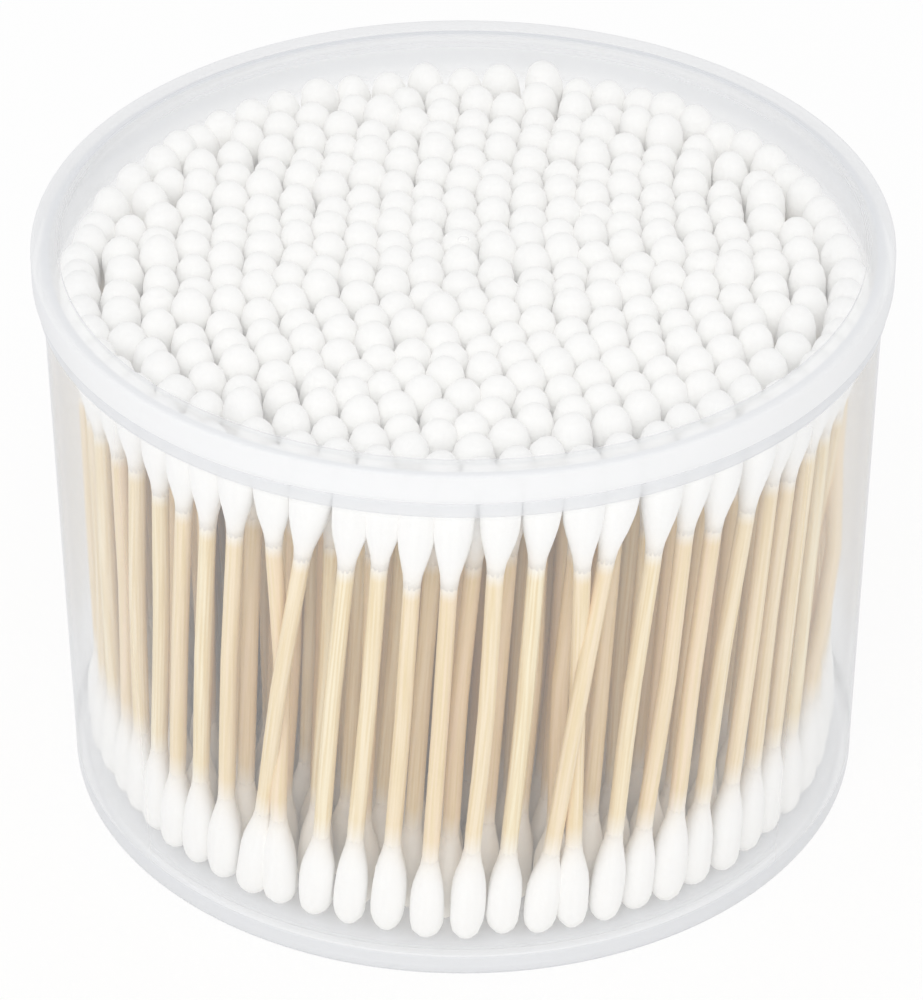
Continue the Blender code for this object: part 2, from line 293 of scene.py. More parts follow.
def skin_faces(count, rings, around):
    """Quads between neighbouring rings and triangles to the poles, facing out, for every skin."""
    here = np.arange(around)
    after = (here + 1) % around
    ring = around * np.arange(rings)[:, None]
    quads = np.stack([ring[:-1] + here, ring[:-1] + after, ring[1:] + after, ring[1:] + here], axis=2)
    low, high, last = rings * around, rings * around + 1, (rings - 1) * around
    caps = np.concatenate([np.stack([np.full(around, low), after, here], axis=1),
                           np.stack([np.full(around, high), last + here, last + after], axis=1)])
    base = (rings * around + 2) * np.arange(count)[:, None, None]
    return (quads.reshape(-1, 4) + base).reshape(-1, 4), (caps + base).reshape(-1, 3)


def mesh_piece(name, points, quads, triangles, attributes=()):
    """A smooth-shaded mesh object at the origin, with its place in its points."""
    mesh = bpy.data.meshes.new(name)
    mesh.from_pydata(points.reshape(-1, 3).tolist(), [], quads.tolist() + triangles.tolist())
    for title, kind, values in attributes:
        entry = mesh.attributes.new(title, kind, "POINT")
        entry.data.foreach_set("vector" if kind == "FLOAT_VECTOR" else "value", np.ravel(values))
    mesh.shade_smooth()
    piece = bpy.data.objects.new(name, mesh)
    bpy.context.scene.collection.objects.link(piece)
    return piece


# %% [markdown]
# ## Colours and nodes
#
# Colours are written as sRGB hex, the way a paint chart gives them, and one function turns them
# linear for the shaders. One small helper adds a node, sets it and links it, so that a material
# reads from top to bottom.

# %% Colour and node helpers
def linear(colour):
    """sRGB hex to linear RGBA: a straight foot below 0.04045, and a 2.4 power above it."""
    channels = np.array([colour >> shift & 255 for shift in (16, 8, 0)]) / 255
    curve = np.where(channels <= 0.04045, channels / 12.92, ((channels + 0.055) / 1.055) ** 2.4)
    return (*curve.tolist(), 1.0)


def add(tree, kind, links=None, inputs=None, **settings):
    """Add a node to a tree. links maps its inputs to other nodes' outputs, inputs sets values."""
    node = tree.nodes.new(kind)
    for key, value in settings.items():
        setattr(node, key, value)
    for key, value in (inputs or {}).items():
        node.inputs[key].default_value = value
    for key, socket in (links or {}).items():
        tree.links.new(socket, node.inputs[key])
    return node


def new_material(name):
    """An empty node material with its Principled shader and output."""
    material = bpy.data.materials.new(name)
    material.use_nodes = True
    tree = material.node_tree
    return material, tree, tree.nodes["Principled BSDF"]


# %% [markdown]
# ## Cotton wool, wound
#
# A head is bleached cotton sliver wound round the stick's end and pressed in a heated cup. It is
# matt and nearly white, a touch warm, with fine threads running round it, so its pattern is much
# longer round the head than along it. Real fibres are 0.02 mm thick; they are drawn more than
# ten times coarser, because finer ones would show nothing from a step away. Where the sliver
# runs out, the wood shows through it.

# %% Bleached cotton sliver, wound and pressed
COTTON_WHITE = 0xFEFEFD
COTTON_SHADE = 0xFCFBF9
# Wood seen through thin cotton, and also the painted tan light on the inner feet.
STICK_THROUGH_AND_TAN_LIGHT = 0xF3E4CB
WIND_ROUND = 1.6 * MM
WIND_ALONG = 0.28 * MM
FLUFF = 0.5 * MM
COTTON_RELIEF = 0.05 * MM
COTTON_RELIEF_SHARE = 0.6
COTTON_ROUGHNESS = 1.0
COTTON_GLOSS = 0.1
COTTON_SHEEN = 0.25
COTTON_SHEEN_ROUGHNESS = 0.6

cotton, tree, shader = new_material("bleached_cotton_wound")
own = add(tree, "ShaderNodeAttribute", attribute_name="own")
wind_place = add(tree, "ShaderNodeMapping", {"Vector": own.outputs["Vector"]},
                 {"Scale": (1 / WIND_ROUND, 1 / WIND_ROUND, 1 / WIND_ALONG)})
wind = add(tree, "ShaderNodeTexNoise", {"Vector": wind_place.outputs["Vector"]},
           {"Scale": 1.0, "Detail": 0.0})
fluff_place = add(tree, "ShaderNodeMapping", {"Vector": own.outputs["Vector"]},
                  {"Scale": (1 / FLUFF, 1 / FLUFF, 1 / FLUFF)})
fluff = add(tree, "ShaderNodeTexNoise", {"Vector": fluff_place.outputs["Vector"]},
            {"Scale": 1.0, "Detail": 0.0})
relief = add(tree, "ShaderNodeMath", {0: wind.outputs["Fac"], 1: fluff.outputs["Fac"]}, operation="ADD")
tint = add(tree, "ShaderNodeMix", {"Factor": fluff.outputs["Fac"]}, data_type="RGBA")
tint.inputs["A"].default_value = linear(COTTON_SHADE)
tint.inputs["B"].default_value = linear(COTTON_WHITE)
bump = add(tree, "ShaderNodeBump", {"Height": relief.outputs["Value"]},
           {"Strength": COTTON_RELIEF_SHARE, "Distance": COTTON_RELIEF})
# Where the sliver runs out, the wood's colour shows through. On the inner feet the same colour is painted
# tan light, standing in for the light that comes down between the sticks.
thin_and_tan_light = add(tree, "ShaderNodeAttribute", attribute_name="thin_and_tan_light")
thinned_and_tan_lit = add(tree, "ShaderNodeMix", {"Factor": thin_and_tan_light.outputs["Fac"], "A": tint.outputs["Result"]},
              data_type="RGBA")
thinned_and_tan_lit.inputs["B"].default_value = linear(STICK_THROUGH_AND_TAN_LIGHT)
tree.links.new(thinned_and_tan_lit.outputs["Result"], shader.inputs["Base Color"])
tree.links.new(bump.outputs["Normal"], shader.inputs["Normal"])
shader.inputs["Roughness"].default_value = COTTON_ROUGHNESS
shader.inputs["Specular IOR Level"].default_value = COTTON_GLOSS
shader.inputs["Sheen Weight"].default_value = COTTON_SHEEN
shader.inputs["Sheen Roughness"].default_value = COTTON_SHEEN_ROUGHNESS
print("cotton threads drawn every", round(WIND_ALONG / MM, 2), "mm")

# %% [markdown]
# ## Bamboo, split and rounded
#
# The sticks are split bamboo, rounded in a die and left bare: pale straw, dry, with a satin
# sheen along the grain. Fibre bundles lie about 0.3 mm apart and run the stick's whole length,
# so the grain is a noise that is drawn out forty times along the stick. Each stick also has a
# tone of its own, kept as a number on its points, and so is the last fringe of cotton fibres.

# %% Split bamboo, die-rounded and bare
BAMBOO_PALE = 0xFBEECB
BAMBOO_DEEP = 0xEED7A6
BAMBOO_RED = 0xF5DDBB
GRAIN_ACROSS = 0.3 * MM
GRAIN_ALONG = 12.0 * MM
GRAIN_RELIEF = 0.02 * MM
GRAIN_RELIEF_SHARE = 0.5
STREAK_FROM, STREAK_TO = 0.3, 0.75
BAMBOO_ROUGHNESS = 0.55
BAMBOO_GLOSS = 0.3

bamboo, tree, shader = new_material("split_bamboo_bare")
own = add(tree, "ShaderNodeAttribute", attribute_name="own")
tone = add(tree, "ShaderNodeAttribute", attribute_name="tone")
grain_place = add(tree, "ShaderNodeMapping", {"Vector": own.outputs["Vector"]},
                  {"Scale": (1 / GRAIN_ACROSS, 1 / GRAIN_ACROSS, 1 / GRAIN_ALONG)})
grain = add(tree, "ShaderNodeTexNoise", {"Vector": grain_place.outputs["Vector"]},
            {"Scale": 1.0, "Detail": 0.0})
streak = add(tree, "ShaderNodeMapRange", {"Value": grain.outputs["Fac"]},
             {"From Min": STREAK_FROM, "From Max": STREAK_TO})
pale = add(tree, "ShaderNodeMix", {"Factor": tone.outputs["Fac"]}, data_type="RGBA")
pale.inputs["A"].default_value = linear(BAMBOO_PALE)
pale.inputs["B"].default_value = linear(BAMBOO_RED)
stained = add(tree, "ShaderNodeMix", {"Factor": streak.outputs["Result"], "A": pale.outputs["Result"]},
              data_type="RGBA")
stained.inputs["B"].default_value = linear(BAMBOO_DEEP)
fringe = add(tree, "ShaderNodeAttribute", attribute_name="fringe")
fibres = add(tree, "ShaderNodeMix", {"Factor": fringe.outputs["Fac"], "A": stained.outputs["Result"]},
             data_type="RGBA")
fibres.inputs["B"].default_value = linear(COTTON_SHADE)
bump = add(tree, "ShaderNodeBump", {"Height": grain.outputs["Fac"]},
           {"Strength": GRAIN_RELIEF_SHARE, "Distance": GRAIN_RELIEF})
tree.links.new(fibres.outputs["Result"], shader.inputs["Base Color"])
tree.links.new(bump.outputs["Normal"], shader.inputs["Normal"])
shader.inputs["Roughness"].default_value = BAMBOO_ROUGHNESS
shader.inputs["Specular IOR Level"].default_value = BAMBOO_GLOSS
print("bamboo grain every", round(GRAIN_ACROSS / MM, 2), "mm")

# %% [markdown]
# ## The heads
#
# Pressed in a round cup, a head is a dome at its tip, widest a third of the way down, and from
# there it eases into the stick, so that no collar shows where the cotton ends. That is a blunt
# ellipse followed by half a cosine wave. A sum of two slow waves round the head, with a phase
# for each, keeps any two from being alike. The tops are longer and fuller than the feet, which
# the pack presses together. Between the sticks only tan light comes down to the inner feet, so
# their cotton is painted a little of the wood's colour: a painted tan light, not the cotton's own.

# %% Shape and pieces of the cotton heads
# Pairs are for the foot head and the top head.
HEAD_LENGTHS = np.array([14.0, 15.6]) * MM
FIELD_BELLY_D = (5.0 * MM, 5.6 * MM)
RIM_BELLY_D = (4.9 * MM, 5.6 * MM)
BELLY_SHARE = 0.3
DOME_RINGS = 4
DOME_POWER = 2.5
TAPER_RINGS = 6
TAPER_POWERS = (1.8, 1.35)
HEAD_AROUND = 12
LUMP_SHARES = (0.035, 0.025)
LUMP_WAVES = (2, 3)
LUMP_TWISTS = (3, -8)
LENGTH_VARY_SHARE = 0.08
BELLY_VARY_SHARE = 0.08
CAP_SHARE = 0.01
TUCK_SHARE = 0.98
TUCKED_R = TUCK_SHARE * STICK_D / 2
THIN_FROM_SHARE = 0.65
THIN_SHARE = 0.4
PAINTED_TAN_LIGHT_SHARE = 0.3
LENGTH_SEED, HEAD_SEED = 3, 1000


def dome_share(place):
    """Share of the full radius up to the belly: (1 - (1 - place / belly)^n)^(1 / n), a blunt dome."""
    to_tip = np.clip(1 - place / BELLY_SHARE, 0.0, 1.0)
    return (1 - to_tip ** DOME_POWER) ** (1 / DOME_POWER)


def taper_share(place, power):
    """Share of the cotton over the stick that is left: (1 + cos(pi * way_down^power)) / 2."""
    way_down = np.clip((place - BELLY_SHARE) / (1 - BELLY_SHARE), 0.0, 1.0)
    return (1 + np.cos(math.pi * way_down ** power)) / 2


dome_places = BELLY_SHARE * (1 - np.cos(np.linspace(0.0, math.pi / 2, DOME_RINGS + 1)[1:]))
taper_places = np.linspace(BELLY_SHARE, 1.0, TAPER_RINGS + 1)[1:]
head_places = np.concatenate([[0.0], dome_places, taper_places, [1.0 - CAP_SHARE]])

length_random = np.random.default_rng(LENGTH_SEED)
head_lengths = HEAD_LENGTHS[:, None] * (
    1 + length_random.uniform(-LENGTH_VARY_SHARE, LENGTH_VARY_SHARE, (2, len(plan))))


def make_heads(name, members):
    """Both heads of every swab of a row, as one piece of closed skins.

    A ring's radius is (tucked + (belly * lumps - tucked) * taper share) * dome share, where lumps
    is 1 + the sum of share * cos(waves * angle + phase + twist * place). All feet come first.
    """
    random = np.random.default_rng(HEAD_SEED + int(members[0]))
    rim_row = bool(on_rim[members[0]])
    axes = tops[members] - feet[members]
    axes /= np.linalg.norm(axes, axis=1)[:, None]
    starts = np.concatenate([feet[members], tops[members]])
    axes = np.concatenate([axes, -axes])
    count = len(starts)
    length = head_lengths[:, members].reshape(count, 1)
    full = np.repeat(RIM_BELLY_D if rim_row else FIELD_BELLY_D, len(members))[:, None, None]
    taper_power = np.repeat(TAPER_POWERS, len(members))[:, None, None]
    belly = full / 2 * (1 - random.uniform(0, BELLY_VARY_SHARE, (count, 1, 1)))
    heights = head_places[None] * length
    angle = math.tau * np.arange(HEAD_AROUND) / HEAD_AROUND
    places = head_places[None, 1:-1, None]
    phases = random.uniform(0, math.tau, (2, count, 1, 1))
    lumps = 1 + sum(share * np.cos(waves * angle + phase + twist * places)
                    for share, waves, phase, twist in zip(LUMP_SHARES, LUMP_WAVES, phases, LUMP_TWISTS))
    over_stick = belly * lumps - TUCKED_R
    radii = (TUCKED_R + over_stick * taper_share(places, taper_power)) * dome_share(places)
    points, own_place = turned_skins(starts, axes, heights, radii, random.uniform(0, math.tau, count))
    quads, caps = skin_faces(count, len(head_places) - 2, HEAD_AROUND)
    run_out = np.clip((head_places - THIN_FROM_SHARE) / (1 - THIN_FROM_SHARE), 0.0, 1.0) ** 2
    thin_and_tan_light = THIN_SHARE * np.concatenate([np.repeat(run_out[1:-1], HEAD_AROUND), run_out[[0, -1]]])
    # The inner feet of the field get painted tan light: the wood's colour stands in for the light that
    # reaches them between the sticks.
    painted_tan_light = np.repeat([0.0 if rim_row else PAINTED_TAN_LIGHT_SHARE, 0.0], len(members))
    thin_and_tan_light = np.maximum(thin_and_tan_light[None], painted_tan_light[:, None])
    piece = mesh_piece(name, points, quads, caps,
                       [("own", "FLOAT_VECTOR", own_place), ("thin_and_tan_light", "FLOAT", thin_and_tan_light)])
    piece.data.materials.append(cotton)
    return piece


# %% [markdown]
# ## The sticks
#
# A stick is a plain rod whose ends are buried in its heads. Ten sides are enough for something
# two millimetres thick. A bamboo stick is seldom dead straight, so each bows by a few tenths of
# a millimetre to a side of its own. Past the end of the wound cotton, a fringe of stray fibres
# fades out along the wood, longer at the foot than at the top.

# %% Shape and pieces of the bamboo sticks
STICK_AROUND = 10
STICK_BOW = 0.35 * MM
STICK_CAP = 0.05 * MM
STICK_BURY_SHARE = 0.7
FOOT_FRINGE = 3.6 * MM
TOP_FRINGE = 1.8 * MM
FRINGE_SHARE = 0.65
MIDDLE_SHARES = (0.25, 0.5, 0.75)
STICK_SEED = 2000


def make_sticks(name, members):
    """The sticks of a row: rods from inside one head to inside the other, each with a slight bow.

    The bow moves a ring sideways by bend * sin(pi * share)^2, where share is its way from one
    head's end to the other's, so that the stick leaves each head straight.
    """
    random = np.random.default_rng(STICK_SEED + int(members[0]))
    axes = tops[members] - feet[members]
    whole = np.linalg.norm(axes, axis=1)
    axes /= whole[:, None]
    count = len(members)
    low, high = head_lengths[0, members], whole - head_lengths[1, members]
    clean_low, clean_high = low + FOOT_FRINGE, high - TOP_FRINGE
    heights = [STICK_BURY_SHARE * low, low, clean_low]
    heights += [clean_low + share * (clean_high - clean_low) for share in MIDDLE_SHARES]
    heights += [clean_high, high, whole - STICK_BURY_SHARE * head_lengths[1, members]]
    heights = np.stack([heights[0] - STICK_CAP, *heights, heights[-1] + STICK_CAP], axis=1)
    rings = heights.shape[1] - 2
    radii = np.full((count, rings, STICK_AROUND), STICK_D / 2)
    phase = random.uniform(0, math.tau, count)
    points, own_place = turned_skins(feet[members], axes, heights, radii, phase)
    ring_of_point = np.concatenate([np.repeat(np.arange(1, rings + 1), STICK_AROUND), [0, rings + 1]])
    share = np.clip((heights - low[:, None]) / (high - low)[:, None], 0.0, 1.0)
    bow = (np.sin(math.pi * share) ** 2)[:, ring_of_point]
    outward = feet[members, :2] / np.linalg.norm(feet[members, :2], axis=1)[:, None].clip(STICK_D)
    bend = STICK_BOW * random.normal(0, 1, (count, 2)) + cross_bow[members, None] * outward
    points[:, :, :2] += bow[:, :, None] * bend[:, None]
    quads, caps = skin_faces(count, rings, STICK_AROUND)
    tones = np.repeat(random.uniform(0, 1, count)[:, None], points.shape[1], axis=1)
    # One value a ring, from pole to pole: cotton up to where each head ends, then bare wood.
    cotton_end = FRINGE_SHARE * np.array([0, 1, 1, 0, 0, 0, 0, 0, 1, 1, 0])
    fringe = np.tile(cotton_end[ring_of_point], count)
    piece = mesh_piece(name, points, quads, caps, [("own", "FLOAT_VECTOR", own_place),
                                                   ("tone", "FLOAT", tones),
                                                   ("fringe", "FLOAT", fringe)])
    piece.data.materials.append(bamboo)
    return piece


# %% [markdown]
# ## Dress each row
#
# One piece holds a row's heads and another its sticks. Together they stand for the solids of
# that row, and they ride on the tub's body, in which the swabs only rest.

# %% Heads and sticks of every row
def dress_row(label, members, nodes):
    """Make a row's heads and sticks, and let them stand for the row's solids."""
    heads = make_heads(f"{label}_heads", members)
    sticks = make_sticks(f"{label}_sticks", members)
    for piece, slot_name in ((heads, "cotton"), (sticks, "bamboo")):
        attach(piece, "tub")
        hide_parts(*nodes)


dress_row("rim", np.flatnonzero(on_rim), [f"rim_swabs_{number + 1:02d}" for number in range(RIM_ARCS)])
for file in range(1, FILES + 1):
    number = f"{file:02d}"
    runs = [f"front_swabs_{number}", f"back_swabs_{number}"]
    dress_row(f"file_{number}", np.flatnonzero(swab_row == file), runs)
print("rows dressed:", FILES + 1)

# %% [markdown]
# ## Moulded walls
#
# Tub and lid are thin polypropylene mouldings, turned forms with a small round on every edge,
# because a mould can't make a sharp one and such an edge wouldn't catch the light. Each outline
# below is a list of corners with a round for each. A quadratic curve cuts every corner, and the
# softened outline is then carried round the axis.

# %% Soften an outline and turn it
TURN_STEPS = 192
ROUND_STEPS = 4
SMALL_ROUND = 0.2 * MM
ROUND_LIMIT_SHARE = 0.45


def softened(outline):
    """Cut each corner of (radius, height, round) with a quadratic curve that starts a round away.

    Points are (1 - t)^2 * before + 2 t (1 - t) * corner + t^2 * after, for t from 0 to 1, and
    the mist and grey, which are the last columns, go along with them.
    """
    corners = np.array([(radius, height, mist, grey) for radius, height, _, mist, grey in outline])
    rounds = np.array([entry[2] for entry in outline])[1:-1, None]
    middle, before, after = corners[1:-1], corners[:-2] - corners[1:-1], corners[2:] - corners[1:-1]
    before_length = np.linalg.norm(before[:, :2], axis=1)[:, None]
    after_length = np.linalg.norm(after[:, :2], axis=1)[:, None]
    reach = np.minimum(rounds, ROUND_LIMIT_SHARE * np.minimum(before_length, after_length))
    start = middle + before / before_length * reach
    end = middle + after / after_length * reach
    t = np.linspace(0.0, 1.0, ROUND_STEPS + 1)[None, :, None]
    curve = (1 - t) ** 2 * start[:, None] + 2 * t * (1 - t) * middle[:, None] + t ** 2 * end[:, None]
    return np.concatenate([corners[:1], curve.reshape(-1, 4), corners[-1:]])


def turned_shell(name, outline):
    """Carry a softened outline round the Z axis: (r cos a, r sin a, z), closed by its two poles."""
    profile = softened(outline)
    angle = math.tau * np.arange(TURN_STEPS) / TURN_STEPS
    radius, height = profile[1:-1, :1], profile[1:-1, 1:2]
    rings = np.stack([radius * np.cos(angle), radius * np.sin(angle), height + 0 * angle], axis=2)
    poles = np.array([[0.0, 0.0, profile[0, 1]], [0.0, 0.0, profile[-1, 1]]])
    quads, caps = skin_faces(1, len(profile) - 2, TURN_STEPS)
    mist, grey = (np.concatenate([np.repeat(profile[1:-1, column], TURN_STEPS), profile[[0, -1], column]])
                  for column in (2, 3))
    return mesh_piece(name, np.concatenate([rings.reshape(-1, 3), poles]), quads, caps,
                      [("mist", "FLOAT", mist), ("grey", "FLOAT", grey)])


# %% [markdown]
# ## The plastic
#
# Polypropylene is never quite clear: it scatters a little light inside, so it looks like thin
# mist head on and like pale grey glass at a slant, where the eye looks along the wall. Bending
# of light through a 1 mm wall hardly shows, so the wall is a see-through skin under a smooth
# moulded gloss. How misty it is differs from place to place, because the plastic cools slowly
# where it is thick, so each corner of an outline has a mist of its own: the share that it hides
# head on. Nearly all of it is on the outer skin, because a wall has only one thickness of
# plastic. Its grey is the share of a cooler, darker tint: partly the plastic's own where it is
# thick, and partly painted shade in sheltered places and wherever it is met at a slant.

# %% Clear polypropylene, injection moulded
PLASTIC_WHITE = 0xFCFCFC
PLASTIC_SHADE_GREY = 0xDEE0E4
LEAST_COSINE = 0.04
SLANT_POWER = 2.0
PLASTIC_ROUGHNESS = 0.3
PLASTIC_IOR = 1.49

plastic, tree, shader = new_material("clear_polypropylene_moulded")
mist = add(tree, "ShaderNodeAttribute", attribute_name="mist")
facing = add(tree, "ShaderNodeLayerWeight", inputs={"Blend": 0.5})
cosine = add(tree, "ShaderNodeMath", {1: facing.outputs["Facing"]}, {0: 1.0}, operation="SUBTRACT")
cosine = add(tree, "ShaderNodeMath", {0: cosine.outputs["Value"]}, {1: LEAST_COSINE}, operation="MAXIMUM")
way_through = add(tree, "ShaderNodeMath", {1: cosine.outputs["Value"]}, {0: 1.0}, operation="DIVIDE")
clear_share = add(tree, "ShaderNodeMath", {1: mist.outputs["Fac"]}, {0: 1.0}, operation="SUBTRACT")
seen_through = add(tree, "ShaderNodeMath",
                   {0: clear_share.outputs["Value"], 1: way_through.outputs["Value"]}, operation="POWER")
cover = add(tree, "ShaderNodeMath", {1: seen_through.outputs["Value"]}, {0: 1.0}, operation="SUBTRACT")
tree.links.new(cover.outputs["Value"], shader.inputs["Alpha"])
# The corner's grey, or the slant where it is greater, mixes in the darker tint. This is painted shade in
# sheltered places and at a slant, and partly the plastic's own tint where it is thick.
grey = add(tree, "ShaderNodeAttribute", attribute_name="grey")
slant = add(tree, "ShaderNodeMath", {0: facing.outputs["Facing"]}, {1: SLANT_POWER}, operation="POWER")
grey_and_painted_shade = add(tree, "ShaderNodeMath", {0: grey.outputs["Fac"], 1: slant.outputs["Value"]},
             operation="MAXIMUM")
tint = add(tree, "ShaderNodeMix", {"Factor": grey_and_painted_shade.outputs["Value"]}, data_type="RGBA")
tint.inputs["A"].default_value = linear(PLASTIC_WHITE)
tint.inputs["B"].default_value = linear(PLASTIC_SHADE_GREY)
tree.links.new(tint.outputs["Result"], shader.inputs["Base Color"])
shader.inputs["Roughness"].default_value = PLASTIC_ROUGHNESS
shader.inputs["IOR"].default_value = PLASTIC_IOR
print("plastic hides 1 - (1 - mist) ^ (1 / cosine) of what is behind it")

# %% [markdown]
# ## Lid and tub
#
# The lid straddles the tub's neck: skirt outside, plug inside, a roof over both, and the panel
# sunk a little below the rim. The tub's neck stands inside that, over a stop flange, and the
# body tapers to a foot ring under a raised floor. Both keep the shallow well and the nub where
# the plastic was fed in. A corner is (radius, height, round, mist, grey). Two corners that bend
# nothing stand near the ends of the long wall, and keep its shading flat between them. Mist
# scatters light forward and hardly dims it, so the shells throw no shadow and leave the light
# inside alone.

# %% Outlines of lid and tub, from pole to pole
# A corner's grey is mostly painted shade. It is strongest where shade falls: on the flange under the skirt,
# round the lip and the rim's inner edge, inside the wall and round the floor and foot. The open panel and
# the gate have none.
PANEL_MIST, PANEL_GREY = 0.1, 0.0
EDGE_MIST, EDGE_GREY = 0.16, 0.8
CLEAR_PANEL_R = 42.0 * MM
GATE_MIST, GATE_GREY = 0.13, 0.0
GATE_MIST_R = 14.0 * MM
RIM_MIST, RIM_GREY = 0.12, 0.8
SKIRT_MIST, SKIRT_GREY = 0.6, 0.35
NECK_MIST, NECK_GREY = 0.6, 0.2
BORE_MIST, BORE_GREY = 0.45, 0.7
FLANGE_MIST, FLANGE_GREY = 0.45, 1.0
WALL_MIST, WALL_GREY = 0.13, 0.5
INSIDE_MIST, INSIDE_GREY = 0.04, 1.0
FLOOR_MIST, FLOOR_GREY = 0.35, 1.0
LIP_MIST, LIP_GREY = 0.85, 1.0
LIP = 0.4 * MM
FOOT_MIST, FOOT_GREY = 0.45, 1.0
UNDER_MIST, UNDER_GREY = 0.45, 1.0
GATE_SLOPE = 3.0 * MM
GATE_ROUND = 1.4 * MM
RIM_ROUND = 0.75 * MM
RIM_INNER_ROUND = 0.4 * MM
PLUG_ROUND = 0.4 * MM
FLOOR_ROUND = 1.3 * MM
FLOOR_MIST_WIDTH = 2.0 * MM
FOOT_ROUND = 1.0 * MM
FOOT_INNER_ROUND = 0.3 * MM
UNDER_ROUND = 0.4 * MM
NUB_R = 0.7 * MM
NUB_HEIGHT = 0.2 * MM
LIP_ROUND = 0.35 * MM
WALL_LOW_STEP = 2.5 * MM
WALL_LOW = FLOOR_TOP + WALL_LOW_STEP
WALL_HIGH = FLANGE_UNDER - FLANGE_HEIGHT
LID_WELL = PANEL_TOP - GATE_WELL_DEPTH
FLOOR_WELL = FOOT_HEIGHT + GATE_WELL_DEPTH


def drafted(foot_radius, height):
    """The radius of a drafted wall at a height: its foot's, and the draft's share of the way up."""
    return foot_radius + BODY_DRAFT * (height - FLOOR_TOP) / (FLANGE_UNDER - FLOOR_TOP)


lid_outline = [
    (0.0, PANEL_UNDER, 0.0, 0.0, 0.0),
    (PLUG_R, PANEL_UNDER, PLUG_ROUND, 0.0, 0.0),
    (PLUG_R, ROOF_UNDER, SMALL_ROUND, 0.0, 0.0),
    (SKIRT_BORE, ROOF_UNDER, SMALL_ROUND, 0.0, 0.0),
    (SKIRT_BORE, SKIRT_FOOT, SMALL_ROUND, 0.0, 0.0),
    (LID_R, SKIRT_FOOT, SMALL_ROUND, SKIRT_MIST, SKIRT_GREY),
    (LID_R, RIM_TOP, RIM_ROUND, SKIRT_MIST, SKIRT_GREY),
    (RIM_BORE, RIM_TOP, RIM_INNER_ROUND, RIM_MIST, RIM_GREY),
    (RIM_BORE, PANEL_TOP, RIM_INNER_ROUND, RIM_MIST, RIM_GREY),
    (RIM_BORE - PANEL, PANEL_TOP, SMALL_ROUND, EDGE_MIST, EDGE_GREY),
    (CLEAR_PANEL_R, PANEL_TOP, SMALL_ROUND, PANEL_MIST, PANEL_GREY),
    (GATE_MIST_R, PANEL_TOP, SMALL_ROUND, PANEL_MIST, PANEL_GREY),
    (GATE_WELL_R + GATE_SLOPE, PANEL_TOP, GATE_ROUND, GATE_MIST, GATE_GREY),
    (GATE_WELL_R, LID_WELL, GATE_ROUND, GATE_MIST, GATE_GREY),
    (NUB_R, LID_WELL, SMALL_ROUND, GATE_MIST, GATE_GREY),
    (NUB_R, LID_WELL + NUB_HEIGHT, SMALL_ROUND, GATE_MIST, GATE_GREY),
    (0.0, LID_WELL + NUB_HEIGHT, 0.0, GATE_MIST, GATE_GREY),
]
tub_outline = [
    (0.0, FLOOR_WELL - NUB_HEIGHT, 0.0, UNDER_MIST, UNDER_GREY),
    (NUB_R, FLOOR_WELL - NUB_HEIGHT, SMALL_ROUND, UNDER_MIST, UNDER_GREY),
    (NUB_R, FLOOR_WELL, SMALL_ROUND, UNDER_MIST, UNDER_GREY),
    (GATE_WELL_R, FLOOR_WELL, SMALL_ROUND, UNDER_MIST, UNDER_GREY),
    (GATE_WELL_R + GATE_WELL_DEPTH, FOOT_HEIGHT, SMALL_ROUND, UNDER_MIST, UNDER_GREY),
    (FOOT_R - FOOT_WIDTH, FOOT_HEIGHT, UNDER_ROUND, UNDER_MIST, UNDER_GREY),
    (FOOT_R - FOOT_WIDTH, 0.0, FOOT_INNER_ROUND, FOOT_MIST, FOOT_GREY),
    (FOOT_R, 0.0, FOOT_ROUND, FOOT_MIST, FOOT_GREY),
    (FOOT_R, FLOOR_TOP, SMALL_ROUND, FOOT_MIST, FOOT_GREY),
    (FOOT_R, FLOOR_TOP + SMALL_ROUND, SMALL_ROUND, WALL_MIST, WALL_GREY),
    (drafted(FOOT_R, WALL_LOW), WALL_LOW, SMALL_ROUND, WALL_MIST, WALL_GREY),
    (drafted(FOOT_R, WALL_HIGH), WALL_HIGH, SMALL_ROUND, WALL_MIST, WALL_GREY),
    (NECK_R, FLANGE_UNDER - FLANGE_ROOT, SMALL_ROUND, WALL_MIST, WALL_GREY),
    (FLANGE_R, FLANGE_UNDER, SMALL_ROUND, FLANGE_MIST, FLANGE_GREY),
    (FLANGE_R, FLANGE_TOP, SMALL_ROUND, FLANGE_MIST, FLANGE_GREY),
    (NECK_R, FLANGE_TOP, SMALL_ROUND, NECK_MIST, NECK_GREY),
    (NECK_R, NECK_TOP - LIP, SMALL_ROUND, NECK_MIST, NECK_GREY),
    (NECK_R, NECK_TOP, LIP_ROUND, LIP_MIST, LIP_GREY),
    (NECK_BORE, NECK_TOP, LIP_ROUND, LIP_MIST, LIP_GREY),
    (NECK_BORE, NECK_TOP - LIP, SMALL_ROUND, BORE_MIST, BORE_GREY),
    (NECK_BORE, FLANGE_UNDER, SMALL_ROUND, BORE_MIST, BORE_GREY),
    (drafted(FLOOR_BORE, WALL_HIGH), WALL_HIGH, SMALL_ROUND, INSIDE_MIST, INSIDE_GREY),
    (drafted(FLOOR_BORE, WALL_LOW), WALL_LOW, SMALL_ROUND, INSIDE_MIST, INSIDE_GREY),
    (FLOOR_BORE, FLOOR_TOP, FLOOR_ROUND, INSIDE_MIST, INSIDE_GREY),
    (FLOOR_BORE - FLOOR_MIST_WIDTH, FLOOR_TOP, SMALL_ROUND, FLOOR_MIST, FLOOR_GREY),
    (0.0, FLOOR_TOP, 0.0, FLOOR_MIST, FLOOR_GREY),
]

